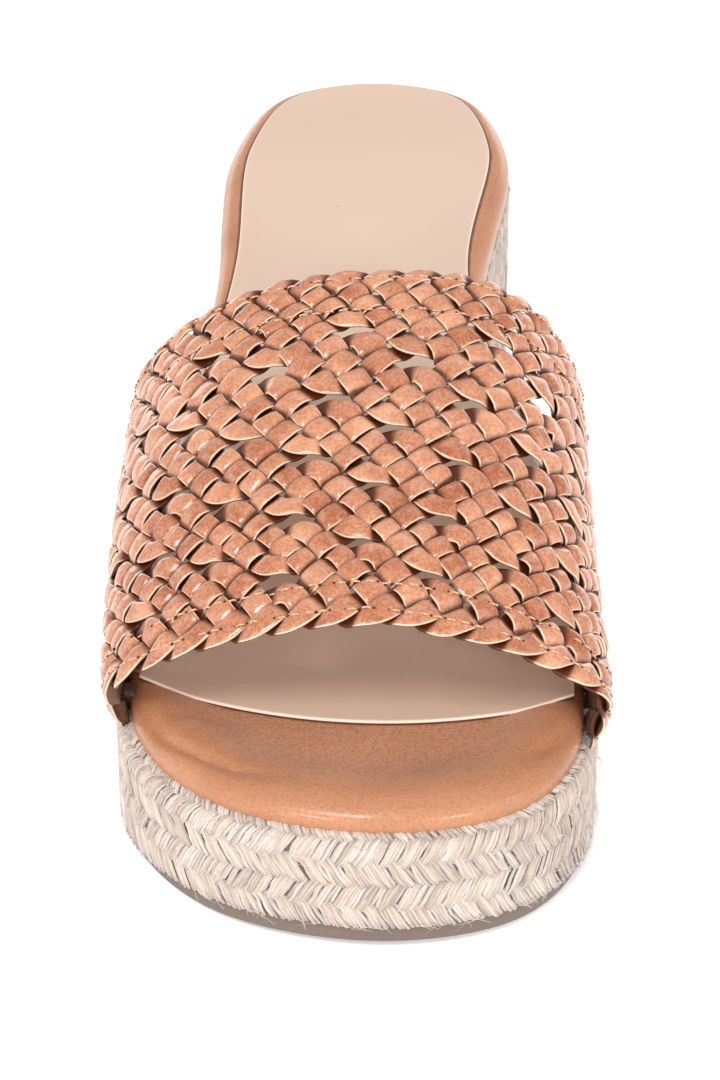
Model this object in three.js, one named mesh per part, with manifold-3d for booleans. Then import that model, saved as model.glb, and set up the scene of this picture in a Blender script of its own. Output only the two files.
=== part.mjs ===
// Wedge slide for the right foot: rubber outsole, braid-wrapped wedge, leather-wrapped footbed,
// insole sock and a woven band over the forefoot.
// Millimetres, +Z up, toe at -Y, heel at +Y, inner (big toe) side at +X, origin under the middle.
import * as THREE from 'three';
import { mergeVertices } from 'three/addons/utils/BufferGeometryUtils.js';
import Module from 'manifold-3d';

const wasm = await Module();
wasm.setup();

// Clearance kept between neighbouring pieces.
const GAP = 0.3;

// Sole stack.
const OUTSOLE_THICK = 3.6;
const OUTSOLE_INSET = 0.8;
const OUTSOLE_CHAMFER = 0.6;
const TOE_SPRING = 1.6;
const SPRING_START_Y = -78;
const BRAID_HEIGHT = 9.8;
const BRAID_BULGE = 1.3;
const BRAID_ROWS = 7;
const FOOTBED_THICK = 7;
// The footbed stands in from the sole's outline at the toe and comes out to it behind the band.
const FOOTBED_INSET = [
  { y: 2, inset: 2.6 },
  { y: 30, inset: 1.4 },
  { y: 58, inset: 0 },
];
const FOOTBED_ROUND = 4;
const FOOTBED_DISH = 1.2;
const DISH_WIDTH = 16;
const INSOLE_THICK = 1;
const INSOLE_INSET = 4.5;
const INSOLE_FRONT = { x: 6, y: -93, curve: 0.0063 };

// Plan of the sole, once round from the toe tip along the inner side.
const OUTLINE = [
  { x: 4, y: -125 },
  { x: 29.5, y: -118.2 },
  { x: 43, y: -99 },
  { x: 46.3, y: -62 },
  { x: 41.5, y: -12 },
  { x: 28.8, y: 42 },
  { x: 34.5, y: 89 },
  { x: 25.5, y: 117 },
  { x: 4, y: 125 },
  { x: -17.5, y: 117 },
  { x: -28.5, y: 89 },
  { x: -31.1, y: 45 },
  { x: -41, y: -10 },
  { x: -46.3, y: -54 },
  { x: -43, y: -92 },
  { x: -25.5, y: -115.6 },
];
const OUTLINE_STEPS = 60;

// Height of the footbed's rim along the foot.
const FOOTBED_TOP = [
  { y: -125, z: 30.3 },
  { y: -100, z: 28.9 },
  { y: -70, z: 29.1 },
  { y: -35, z: 33.5 },
  { y: 5, z: 45 },
  { y: 45, z: 57.5 },
  { y: 85, z: 66.8 },
  { y: 125, z: 69.8 },
];

// Sections of the band from its rear edge (v 0) to its front edge (v 1): the crest's place, how far it
// lies towards the inner side, and how square the shoulders are.
const BAND = [
  { v: 0, crestY: -14.2, crestZ: 85.6, skew: 10.8, power: 2.23 },
  { v: 0.5, crestY: -54.7, crestZ: 71.6, skew: 5, power: 2.24 },
  { v: 1, crestY: -100.7, crestZ: 55, skew: 1.6, power: 1.47 },
];
// The same sections' two sides: where they meet the sole and how far they swell out over it.
const BAND_OUTER = [
  { v: 0, y: -4, swell: 6.5 },
  { v: 0.5, y: -44, swell: 3.2 },
  { v: 1, y: -84, swell: 2.3 },
];
const BAND_INNER = [
  { v: 0, y: -5, swell: 6.6 },
  { v: 0.5, y: -48.5, swell: 1.7 },
  { v: 1, y: -91, swell: 2.6 },
];
const BAND_INSET = 0.8;
const BAND_SEAT = 0.9;
const BAND_WAIST = 11;
const BAND_SWEEP = THREE.MathUtils.degToRad(112);
const BAND_WALL = 1.4;
const STRIP_RISE = 0.9;
const SECTION_STEPS = 60;

// Diagonal weave of the band: crossings in rows across the foot, each row shifted sideways by LEAN.
const WEAVE_ROWS = 23;
const WEAVE_PITCH = 7.17;
const WEAVE_LEAN = -0.071;
const WEAVE_OFFSET = -6.8;
// Rows lie closer together towards the toe: each row's place as a share of the band's length.
const WEAVE_PLACES = [
  { row: -1, share: 0 },
  { row: 4, share: 0.2 },
  { row: 8, share: 0.414 },
  { row: 12, share: 0.582 },
  { row: 16, share: 0.73 },
  { row: 20, share: 0.867 },
  { row: 23, share: 1 },
];
const WEAVE_COLUMNS = 32;
const STRIP_ALONG = 0.86;
const STRIP_ACROSS = 0.74;
// Gaps where strips turn back: every fourth crossing of each second row.
const GAP_FIRST_ROW = 4;
const GAP_LAST_ROW = 20;
const GAP_EVERY = 8;
const GAP_WIDE = 0.76;
const GAP_TALL = 0.34;

// Cubic curve through the rows of a table, with slopes taken from the neighbouring rows.
function follow(rows, along, key, at) {
  let i = 0;
  while (i < rows.length - 2 && at > rows[i + 1][along]) i += 1;
  const slope = (j) => {
    const before = rows[Math.max(j - 1, 0)];
    const after = rows[Math.min(j + 1, rows.length - 1)];
    return (after[key] - before[key]) / (after[along] - before[along]);
  };
  const start = rows[i];
  const end = rows[i + 1];
  const span = end[along] - start[along];
  const t = (at - start[along]) / span;
  const rise = t * t * (3 - 2 * t);
  const leave = t * (1 - t) * (1 - t) * span * slope(i);
  const arrive = t * t * (t - 1) * span * slope(i + 1);
  return start[key] * (1 - rise) + end[key] * rise + leave + arrive;
}

function toeLift(y) {
  const reach = (SPRING_START_Y - y) / (SPRING_START_Y - OUTLINE[0].y);
  return TOE_SPRING * Math.max(reach, 0) ** 2;
}

function footbedTop(y) {
  return follow(FOOTBED_TOP, 'y', 'z', y);
}

function footbedInset(y) {
  const rows = FOOTBED_INSET;
  const within = THREE.MathUtils.clamp(y, rows[0].y, rows[rows.length - 1].y);
  return follow(rows, 'y', 'inset', within);
}

function wedgeTop(y) {
  return footbedTop(y) - FOOTBED_THICK - GAP;
}

// Plan outline as evenly spaced points, each with its outward normal.
const outlineCurve = new THREE.CatmullRomCurve3(
  OUTLINE.map(({ x, y }) => new THREE.Vector3(x, y, 0)),
  true,
);
const plan = outlineCurve.getSpacedPoints(OUTLINE_STEPS).slice(0, OUTLINE_STEPS);
const planNormals = plan.map((point, i) => {
  const ahead = plan[(i + 1) % OUTLINE_STEPS];
  const behind = plan[(i + OUTLINE_STEPS - 1) % OUTLINE_STEPS];
  return new THREE.Vector3(ahead.y - behind.y, behind.x - ahead.x, 0).normalize();
});

// Closed ring of points, the plan drawn in by inset, at the height that heightAt gives.
function ring(inset, heightAt, insetAt = () => 0) {
  return plan.map((point, i) => {
    const moved = point.clone().addScaledVector(planNormals[i], -inset - insetAt(point.y));
    moved.z = heightAt(moved.y);
    return moved;
  });
}

function meshGeometry(points, triangles) {
  const geometry = new THREE.BufferGeometry();
  const flat = points.flatMap((p) => [p.x, p.y, p.z]);
  geometry.setAttribute('position', new THREE.Float32BufferAttribute(flat, 3));
  geometry.setIndex(triangles);
  return geometry;
}

// Solid skinned over a stack of rings, closed at both ends by rungs from side to side.
function loft(rings) {
  const count = rings[0].length;
  const half = count / 2;
  const triangles = [];
  for (let level = 0; level + 1 < rings.length; level += 1) {
    for (let i = 0; i < count; i += 1) {
      const next = (i + 1) % count;
      const low = level * count;
      const high = low + count;
      triangles.push(low + i, low + next, high + next, low + i, high + next, high + i);
    }
  }
  const top = (rings.length - 1) * count;
  for (let i = 0; i < half; i += 1) {
    const mirror = (count - i) % count;
    const corners = [i, i + 1, mirror - 1 + (i === 0 ? count : 0), mirror];
    const fans = [[0, 1, 2], [0, 2, 3]];
    for (const fan of fans) {
      const [a, b, c] = fan.map((k) => corners[k]);
      if (a === b || b === c || c === a) continue;
      triangles.push(top + a, top + b, top + c, c, b, a);
    }
  }
  return meshGeometry(rings.flat(), triangles);
}

function toSolid(geometry) {
  const bare = geometry.clone();
  bare.deleteAttribute('normal');
  bare.deleteAttribute('uv');
  const merged = mergeVertices(bare);
  return new wasm.Manifold(new wasm.Mesh({
    numProp: 3,
    vertProperties: new Float32Array(merged.attributes.position.array),
    triVerts: new Uint32Array(merged.index.array),
  }));
}

function toGeometry(solid) {
  const { vertProperties, triVerts } = solid.getMesh();
  const geometry = new THREE.BufferGeometry();
  geometry.setAttribute('position', new THREE.Float32BufferAttribute(vertProperties, 3));
  geometry.setIndex(Array.from(triVerts));
  return geometry;
}

// Thin rubber outsole just inside the braid, with a chamfered lower edge and a slight toe spring.
function outsoleGeometry() {
  return loft([
    ring(OUTSOLE_INSET + OUTSOLE_CHAMFER, toeLift),
    ring(OUTSOLE_INSET, (y) => toeLift(y) + OUTSOLE_CHAMFER),
    ring(OUTSOLE_INSET, (y) => toeLift(y) + OUTSOLE_THICK),
  ]);
}

// Wedge with one rounded rib for each row of braid, cut off under the footbed.
function wedgeGeometry() {
  const ribProfile = [
    { rise: 0, inset: 0 },
    { rise: 0.3, inset: -BRAID_BULGE },
    { rise: 0.7, inset: -BRAID_BULGE },
  ];
  const rings = [];
  for (let row = 0; row < BRAID_ROWS; row += 1) {
    for (const { rise, inset } of ribProfile) {
      const height = OUTSOLE_THICK + GAP + (row + rise) * BRAID_HEIGHT;
      rings.push(ring(inset, (y) => toeLift(y) + height));
    }
  }
  const ribbed = toSolid(loft(rings));

  const reach = 140;
  const ceiling = 120;
  const strips = 24;
  const section = new THREE.Shape();
  section.moveTo(-reach, ceiling);
  for (let i = 0; i <= strips; i += 1) {
    const y = THREE.MathUtils.lerp(-reach, reach, i / strips);
    section.lineTo(y, wedgeTop(THREE.MathUtils.clamp(y, OUTLINE[0].y, -OUTLINE[0].y)));
  }
  section.lineTo(reach, ceiling);
  const lid = new THREE.ExtrudeGeometry(section, { depth: reach, bevelEnabled: false });
  // The section is drawn in Y and Z and carried across the foot.
  lid.rotateX(Math.PI / 2);
  lid.rotateZ(Math.PI / 2);
  lid.translate(-reach / 2, 0, 0);
  return toGeometry(ribbed.subtract(toSolid(lid)));
}

// Leather-wrapped footbed with a rounded rim and a shallow dish.
function footbedGeometry() {
  const rings = [
    ring(OUTSOLE_CHAMFER, (y) => footbedTop(y) - FOOTBED_THICK, footbedInset),
    ring(0, (y) => footbedTop(y) - FOOTBED_THICK + OUTSOLE_CHAMFER, footbedInset),
  ];
  const roundSteps = 4;
  for (let step = 0; step <= roundSteps; step += 1) {
    const angle = (step / roundSteps) * (Math.PI / 2);
    const inset = FOOTBED_ROUND * (1 - Math.cos(angle));
    const drop = FOOTBED_ROUND * (1 - Math.sin(angle));
    rings.push(ring(inset, (y) => footbedTop(y) - drop, footbedInset));
  }
  const dishInset = FOOTBED_ROUND + DISH_WIDTH;
  rings.push(ring(dishInset, (y) => footbedTop(y) - FOOTBED_DISH, footbedInset));
  return loft(rings);
}

// Insole sock, laid on the footbed and cut across in front along a shallow curve.
function insoleGeometry() {
  const frontY = (x) => INSOLE_FRONT.y + INSOLE_FRONT.curve * (x - INSOLE_FRONT.x) ** 2;
  const trimmed = (inset, heightAt, insetAt) => ring(inset, heightAt, insetAt).map((point) => {
    point.y = Math.max(point.y, frontY(point.x));
    point.z = heightAt(point.y);
    return point;
  });
  const rim = (y) => footbedTop(y) + GAP;
  const dished = (y) => footbedTop(y) + GAP - FOOTBED_DISH;
  const dishInset = FOOTBED_ROUND + DISH_WIDTH;
  return loft([
    trimmed(dishInset, dished, footbedInset),
    trimmed(INSOLE_INSET, rim),
    trimmed(INSOLE_INSET, (y) => rim(y) + INSOLE_THICK),
    trimmed(dishInset, (y) => dished(y) + INSOLE_THICK, footbedInset),
  ]);
}

// Sideways place of the sole's outline at a given y: side 1 is the inner side, -1 the outer side.
const finePlan = outlineCurve.getSpacedPoints(OUTLINE_STEPS * 8);
function faceX(y, side) {
  for (let i = 0; i + 1 < finePlan.length; i += 1) {
    const a = finePlan[i];
    const b = finePlan[i + 1];
    const onSide = side > 0 ? a.y <= y && b.y > y : a.y > y && b.y <= y;
    if (onSide) return THREE.MathUtils.lerp(a.x, b.x, (y - a.y) / (b.y - a.y));
  }
  return 0;
}

// Across-section of the band at v: a squared arch that turns in again below its widest level.
function bandSection(v) {
  const at = (key) => follow(BAND, 'v', key, v);
  const crestY = at('crestY');
  const crestZ = at('crestZ');
  const power = 2 / at('power');
  const foot = (rows, side) => {
    const y = follow(rows, 'v', 'y', v);
    const x = faceX(y, side) - side * BAND_INSET;
    return { side, x, y, z: wedgeTop(y) + BAND_SEAT, swell: follow(rows, 'v', 'swell', v) };
  };
  const outer = foot(BAND_OUTER, -1);
  const inner = foot(BAND_INNER, 1);
  const crestX = (outer.x + inner.x) / 2 + at('skew');
  const sections = [];
  for (let step = -SECTION_STEPS; step <= SECTION_STEPS; step += 1) {
    const angle = (step / SECTION_STEPS) * BAND_SWEEP;
    const base = step < 0 ? outer : inner;
    const sine = Math.sin(angle);
    const cosine = Math.cos(angle);
    const waist = base.z + BAND_WAIST;
    const tuck = Math.max(cosine / Math.cos(BAND_SWEEP), 0);
    const widest = base.x + base.side * base.swell;
    const x = cosine > 0
      ? crestX + (widest - crestX) * Math.abs(sine) ** power
      : widest - base.side * base.swell * tuck ** 2;
    const z = waist + (crestZ - waist) * Math.max(cosine, 0) ** power - BAND_WAIST * tuck;
    const y = base.y + (crestY - base.y) * ((z - base.z) / (crestZ - base.z));
    sections.push(new THREE.Vector3(x, y, z));
  }
  return sections;
}

// Lengths along a section from its crest, negative on the outer side.
function sectionLengths(section) {
  const lengths = new Array(section.length).fill(0);
  for (let i = SECTION_STEPS + 1; i < section.length; i += 1) {
    lengths[i] = lengths[i - 1] + section[i].distanceTo(section[i - 1]);
  }
  for (let i = SECTION_STEPS - 1; i >= 0; i -= 1) {
    lengths[i] = lengths[i + 1] - section[i].distanceTo(section[i + 1]);
  }
  return lengths;
}

const bandLength = Math.hypot(BAND[2].crestY - BAND[0].crestY, BAND[2].crestZ - BAND[0].crestZ);
const rowPlace = (row) => bandLength * follow(WEAVE_PLACES, 'row', 'share', row);

// Point of the band's outer face, across mm from the crest line and along mm from the rear edge.
function bandPoint(across, along) {
  const section = bandSection(along / bandLength);
  const lengths = sectionLengths(section);
  let i = 0;
  while (i < lengths.length - 2 && across > lengths[i + 1]) i += 1;
  const t = (across - lengths[i]) / (lengths[i + 1] - lengths[i]);
  return section[i].clone().lerp(section[i + 1], t);
}

// Point of the flat weave wrapped onto the band, raised along the face's normal.
function wrap(across, along, rise) {
  const step = 0.5;
  const near = THREE.MathUtils.clamp(along, step, bandLength - step);
  const sideways = bandPoint(across + step, along).sub(bandPoint(across - step, along));
  const forwards = bandPoint(across, near + step).sub(bandPoint(across, near - step));
  const normal = forwards.cross(sideways).normalize();
  return bandPoint(across, along).addScaledVector(normal, rise);
}

function isGap(column, row) {
  const stagger = row % 4 === 0 ? 0 : GAP_EVERY / 2;
  const inRows = row >= GAP_FIRST_ROW && row <= GAP_LAST_ROW && row % 2 === 0;
  return inRows && (column - stagger) % GAP_EVERY === 0;
}

// Flat weave as one sheet: a raised pad along the upper strip of each crossing, or an open gap.
function flatWeave() {
  const points = [];
  const triangles = [];
  const known = new Map();
  const vertex = (across, along, rise) => {
    const key = [across, along, rise].map((value) => Math.round(value * 1000)).join();
    if (!known.has(key)) {
      known.set(key, points.length);
      points.push(new THREE.Vector3(across, along, rise));
    }
    return known.get(key);
  };
  // Half diagonals of a crossing, in fractions of the pitch and in rows.
  const corners = [
    { across: 0.5, along: 0 },
    { across: -WEAVE_LEAN, along: -1 },
    { across: -0.5, along: 0 },
    { across: WEAVE_LEAN, along: 1 },
  ];
  const quadAt = (centre, shape, rise) => shape.map((corner) => vertex(
    centre.x + corner.across * WEAVE_PITCH,
    rowPlace(centre.y + corner.along),
    rise,
  ));
  const band = (outer, inner) => {
    outer.forEach((corner, i) => {
      const next = (i + 1) % outer.length;
      triangles.push(corner, inner[next], outer[next], corner, inner[i], inner[next]);
    });
  };
  const plate = (quad) => triangles.push(quad[0], quad[2], quad[1], quad[0], quad[3], quad[2]);
  const turned = (quad) => [...quad].reverse();
  const edges = new Map();
  for (let row = 0; row < WEAVE_ROWS; row += 1) {
    for (let column = -WEAVE_COLUMNS; column <= WEAVE_COLUMNS; column += 1) {
      if ((column + row) % 2 !== 0) continue;
      const centre = new THREE.Vector2(WEAVE_OFFSET + WEAVE_PITCH * (column / 2 + WEAVE_LEAN * row), row);
      const top = quadAt(centre, corners, 0);
      const bottom = quadAt(centre, corners, -BAND_WALL);
      top.forEach((corner, i) => {
        const next = (i + 1) % 4;
        const twin = `${top[next]},${corner}`;
        if (!edges.delete(twin)) edges.set(`${corner},${top[next]}`, [bottom[i], bottom[next]]);
      });
      if (isGap(column, row)) {
        const lens = corners.map(({ across, along }, i) => ({
          across: across * (i % 2 === 0 ? GAP_WIDE : GAP_TALL),
          along: along * GAP_TALL,
        }));
        const rimTop = quadAt(centre, lens, 0);
        const rimBottom = quadAt(centre, lens, -BAND_WALL);
        band(top, rimTop);
        band(turned(bottom), turned(rimBottom));
        band(rimTop, rimBottom);
        continue;
      }
      // Strips that lean to the right run over in even rows, the others in odd rows.
      const rightward = row % 2 === 0;
      const rightReach = rightward ? STRIP_ALONG : STRIP_ACROSS;
      const leftReach = rightward ? STRIP_ACROSS : STRIP_ALONG;
      const rightStep = { across: (0.5 - WEAVE_LEAN) / 2, along: -0.5 };
      const leftStep = { across: (0.5 + WEAVE_LEAN) / 2, along: 0.5 };
      const signs = [[1, 1], [1, -1], [-1, -1], [-1, 1]];
      const pad = signs.map(([right, left]) => ({
        across: right * rightReach * rightStep.across + left * leftReach * leftStep.across,
        along: right * rightReach * rightStep.along + left * leftReach * leftStep.along,
      }));
      const raised = quadAt(centre, pad, STRIP_RISE);
      band(top, raised);
      plate(raised);
      plate(turned(bottom));
    }
  }
  for (const [edge, [low, lowNext]] of edges) {
    const [high, highNext] = edge.split(',').map(Number);
    triangles.push(high, highNext, lowNext, high, lowNext, low);
  }
  return meshGeometry(points, triangles);
}

// Sheet's cut-out: as wide at each row as the section from sole to sole.
function bandBlank() {
  const steps = 16;
  const outer = [];
  const inner = [];
  for (let i = 0; i <= steps; i += 1) {
    const along = (i / steps) * bandLength;
    const lengths = sectionLengths(bandSection(i / steps));
    outer.push(new THREE.Vector2(lengths[0], along));
    inner.unshift(new THREE.Vector2(lengths[lengths.length - 1], along));
  }
  const depth = 4 * (BAND_WALL + STRIP_RISE);
  const blank = new THREE.ExtrudeGeometry(new THREE.Shape([...outer, ...inner]), {
    depth,
    bevelEnabled: false,
  });
  blank.translate(0, 0, -depth / 2);
  return blank;
}

// Woven band: the flat sheet cut to its blank and wrapped over the forefoot.
function bandGeometry() {
  const sheet = toGeometry(toSolid(flatWeave()).intersect(toSolid(bandBlank())));
  const places = sheet.attributes.position;
  for (let i = 0; i < places.count; i += 1) {
    const wrapped = wrap(places.getX(i), places.getY(i), places.getZ(i));
    places.setXYZ(i, wrapped.x, wrapped.y, wrapped.z);
  }
  // Lengths run from heel to toe, so the wrap mirrors the sheet and its faces are turned back.
  sheet.setIndex(Array.from(sheet.index.array).reverse());
  return sheet;
}

function part(name, geometry, color, roughness) {
  geometry.computeVertexNormals();
  const mesh = new THREE.Mesh(geometry, new THREE.MeshStandardMaterial({ color, roughness, metalness: 0 }));
  mesh.name = name;
  return mesh;
}

const shoe = new THREE.Group();
shoe.add(
  part('outsole', outsoleGeometry(), '#937e72', 0.7),
  part('wedge', wedgeGeometry(), '#dfd2c4', 0.95),
  part('footbed', footbedGeometry(), '#b98260', 0.4),
  part('insole', insoleGeometry(), '#e8cdb9', 0.6),
  part('upper', bandGeometry(), '#c58261', 0.45),
);

export default shoe;
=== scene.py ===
"""Wedge slide for the right foot: woven leather band, leather footbed, plaited jute wedge, rubber sole.

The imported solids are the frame, and each class rebuilds one sub-assembly as a fine surface in the same
place. Sizes in the classes are millimetres, and meshes are written in metres. The toe is at -Y, the heel
at +Y, the inner (big toe) side at +X and the floor at Z = 0.
"""
import logging
import math
from dataclasses import dataclass, field
from enum import Enum

import bpy
import numpy as np
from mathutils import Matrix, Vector


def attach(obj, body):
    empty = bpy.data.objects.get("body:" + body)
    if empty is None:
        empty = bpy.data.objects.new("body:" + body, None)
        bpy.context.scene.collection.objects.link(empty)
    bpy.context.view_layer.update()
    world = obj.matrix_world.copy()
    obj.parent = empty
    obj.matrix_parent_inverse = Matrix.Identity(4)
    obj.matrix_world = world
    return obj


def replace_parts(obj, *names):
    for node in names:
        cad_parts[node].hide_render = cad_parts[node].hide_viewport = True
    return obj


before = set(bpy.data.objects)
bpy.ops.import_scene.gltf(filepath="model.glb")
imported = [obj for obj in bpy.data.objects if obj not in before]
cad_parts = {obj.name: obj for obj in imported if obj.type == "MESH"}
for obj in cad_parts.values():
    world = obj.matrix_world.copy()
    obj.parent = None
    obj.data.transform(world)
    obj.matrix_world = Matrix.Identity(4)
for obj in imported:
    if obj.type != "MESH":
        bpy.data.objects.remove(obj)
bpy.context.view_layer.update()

Array = np.ndarray
LOG = logging.getLogger("wedge_slide")
MM = 0.001
BODY = "root"
SEED = 11


class Slot(Enum):
    """Material slots."""

    OUTSOLE = "outsole_rubber"
    JUTE = "jute_braid"
    FOOTBED = "footbed_leather"
    INSOLE = "insole_sock"
    WEAVE = "woven_leather"


class Side(Enum):
    """Sides of the foot, as signs of X."""

    OUTER = -1
    INNER = 1


# Shapes


@dataclass
class Surface:
    """A mesh as arrays: points in millimetres, four- and three-sided faces, and marks for the finish.

    Each mark is a number at every point. The marks u and v, where present, become the UV map.
    """

    points: Array
    quads: Array
    triangles: Array
    marks: dict[str, Array] = field(default_factory=dict)

    def volume(self) -> float:
        """Add up the signed volumes of the cones from the origin to each face.

        Returns:
            The volume, positive where the faces point outwards.
        """
        fans = np.concatenate([self.quads[:, :3], self.quads[:, [0, 2, 3]], self.triangles])
        a, b, c = (self.points[fans[:, corner]] for corner in range(3))
        return float(np.einsum("ij,ij->i", a, np.cross(b, c)).sum() / 6)


def join(surfaces: list[Surface]) -> Surface:
    """Put several surfaces with the same marks into one.

    Args:
        surfaces: The surfaces, each with its own point numbers.

    Returns:
        One surface that holds them all.
    """
    starts = np.cumsum([0] + [len(s.points) for s in surfaces[:-1]])
    return Surface(
        np.concatenate([s.points for s in surfaces]),
        np.concatenate([s.quads + start for s, start in zip(surfaces, starts)]),
        np.concatenate([s.triangles + start for s, start in zip(surfaces, starts)]),
        {key: np.concatenate([s.marks[key] for s in surfaces]) for key in surfaces[0].marks},
    )


def grid_faces(rows: int, columns: int) -> Array:
    """Quads of a grid of points whose columns close on themselves.

    Args:
        rows: Number of rings.
        columns: Points in each ring.

    Returns:
        Corner numbers, four to a row.
    """
    ring, place = np.meshgrid(np.arange(rows - 1), np.arange(columns), indexing="ij")
    after = (place + 1) % columns
    low, high = ring * columns, (ring + 1) * columns
    return np.stack([low + place, low + after, high + after, high + place], -1).reshape(-1, 4)


def tubes(rings: Array, marks: dict[str, Array]) -> Surface:
    """Closed tubes of equal make-up: rings joined by quads, each end drawn together in a pole.

    Args:
        rings: Points, shaped tubes, rings, places round the ring, 3.
        marks: Numbers for the finish, each shaped as the points without the last axis.

    Returns:
        All tubes as one surface.
    """
    count, length, around, _ = rings.shape
    body = length * around

    def with_poles(values: Array) -> Array:
        """Set the means of the first and last ring behind the values of all rings."""
        flat = values.reshape(count, body, -1)
        ends = np.stack([values[:, 0].mean(1), values[:, -1].mean(1)], 1).reshape(count, 2, -1)
        return np.concatenate([flat, ends], 1).reshape(count * (body + 2), -1)

    place = np.arange(around)
    after = (place + 1) % around
    last = body - around
    near = np.stack([np.full(around, body), after, place], -1)
    far = np.stack([np.full(around, body + 1), last + place, last + after], -1)
    shift = (np.arange(count) * (body + 2))[:, None, None]
    return Surface(
        with_poles(rings),
        (grid_faces(length, around)[None] + shift).reshape(-1, 4),
        (np.concatenate([near, far])[None] + shift).reshape(-1, 3),
        {key: with_poles(value)[:, 0] for key, value in marks.items()},
    )


def loft(rings: Array, marks: dict[str, Array]) -> Surface:
    """Solid skinned over a stack of rings, its two ends closed by rungs from side to side.

    Args:
        rings: Points, shaped rings, places round the ring, 3, with an even number of places.
        marks: Numbers for the finish, shaped as the points without the last axis.

    Returns:
        The closed surface.
    """
    length, around, _ = rings.shape
    place = np.arange(1, around // 2 - 1)
    rungs = np.stack([place, place + 1, around - place - 1, around - place], -1)
    tips = np.array([[0, 1, around - 1], [around // 2 - 1, around // 2, around // 2 + 1]])
    top = (length - 1) * around
    return Surface(
        rings.reshape(-1, 3),
        np.concatenate([grid_faces(length, around), rungs + top, rungs[:, ::-1]]),
        np.concatenate([tips + top, tips[:, ::-1]]),
        {key: value.reshape(-1) for key, value in marks.items()},
    )


def make_piece(name: str, surface: Surface, finish: bpy.types.Material,
               sharp_degrees: float = 40) -> bpy.types.Object:
    """Write a surface into a mesh object that rides on the shoe.

    Args:
        name: The piece's name.
        surface: Its shape; faces that point inwards are turned round.
        finish: Its material.
        sharp_degrees: Edges that turn by more than this stay sharp.

    Returns:
        The object, at the origin.
    """
    turn = slice(None, None, -1 if surface.volume() < 0 else 1)
    quads, triangles = surface.quads[:, turn], surface.triangles[:, turn]
    corners = np.concatenate([quads.ravel(), triangles.ravel()]).astype(np.int32)
    sizes = np.repeat([4, 3], [len(quads), len(triangles)])
    mesh = bpy.data.meshes.new(name)
    mesh.vertices.add(len(surface.points))
    mesh.vertices.foreach_set("co", (surface.points * MM).astype(np.float32).ravel())
    mesh.loops.add(len(corners))
    mesh.loops.foreach_set("vertex_index", corners)
    mesh.polygons.add(len(sizes))
    mesh.polygons.foreach_set("loop_start", (np.cumsum(sizes) - sizes).astype(np.int32))
    mesh.update(calc_edges=True)
    if "u" in surface.marks:
        both = np.stack([surface.marks["u"], surface.marks["v"]], -1)
        mesh.uv_layers.new(name="UVMap").data.foreach_set("uv", both[corners].astype(np.float32).ravel())
    for key, values in surface.marks.items():
        if key not in ("u", "v"):
            mesh.attributes.new(key, "FLOAT", "POINT").data.foreach_set("value", values.astype(np.float32))
    mesh.shade_smooth()
    mesh.set_sharp_from_angle(angle=math.radians(sharp_degrees))
    mesh.materials.append(finish)
    piece = bpy.data.objects.new(name, mesh)
    bpy.context.scene.collection.objects.link(piece)
    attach(piece, BODY)
    LOG.info("%s: %d triangles", name, 2 * len(quads) + len(triangles))
    return piece


def follow(keys: Array, values: Array, at: Array) -> Array:
    """Cubic curve through the rows of a table, with slopes taken from the neighbouring rows.

    Args:
        keys: Rising places of the rows.
        values: One value for each row.
        at: Places to read the curve at.

    Returns:
        Values of the curve.
    """
    keys, values, at = (np.asarray(part, float) for part in (keys, values, at))
    start = np.clip(np.searchsorted(keys, at) - 1, 0, len(keys) - 2)
    before = np.maximum(np.arange(len(keys)) - 1, 0)
    after = np.minimum(np.arange(len(keys)) + 1, len(keys) - 1)
    slopes = (values[after] - values[before]) / (keys[after] - keys[before])
    span = keys[start + 1] - keys[start]
    t = (at - keys[start]) / span
    rise = t * t * (3 - 2 * t)
    bend = t * (1 - t) ** 2 * slopes[start] + t * t * (t - 1) * slopes[start + 1]
    return values[start] * (1 - rise) + values[start + 1] * rise + span * bend


def ease(low: float, high: float, at: Array) -> Array:
    """Smooth step from 0 at low to 1 at high."""
    t = np.clip((at - low) / (high - low), 0, 1)
    return t * t * (3 - 2 * t)


# Finishes


def linear(colour: str) -> tuple[float, float, float, float]:
    """Turn an sRGB colour into linear light.

    Args:
        colour: Hex value such as #d58c6b.

    Returns:
        Red, green, blue and a full alpha.
    """
    parts = np.array([int(colour[i:i + 2], 16) for i in (1, 3, 5)]) / 255
    r, g, b = np.where(parts <= 0.04045, parts / 12.92, ((parts + 0.055) / 1.055) ** 2.4)
    return float(r), float(g), float(b), 1.0


def add(tree: bpy.types.NodeTree, kind: str, inputs: dict, **settings: object) -> bpy.types.Node:
    """Add a node with its settings, and fill its inputs.

    Args:
        tree: The material's nodes.
        kind: The node's type name, without the leading ShaderNode.
        inputs: By input name or number, a value or the output that is linked to it.
        settings: The node's own properties.

    Returns:
        The node.
    """
    node = tree.nodes.new("ShaderNode" + kind)
    for key, value in settings.items():
        setattr(node, key, value)
    for key, value in inputs.items():
        if isinstance(value, bpy.types.NodeSocket):
            tree.links.new(value, node.inputs[key])
        else:
            node.inputs[key].default_value = value
    return node


def per_mm(size: float) -> float:
    """Texture scale, on coordinates in metres, of a pattern whose cells are size millimetres wide."""
    return 1 / (size * MM)


# Socket numbers of a Mix node that mixes colours.
MIX_A, MIX_B, MIX_RESULT = 6, 7, 2


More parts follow.
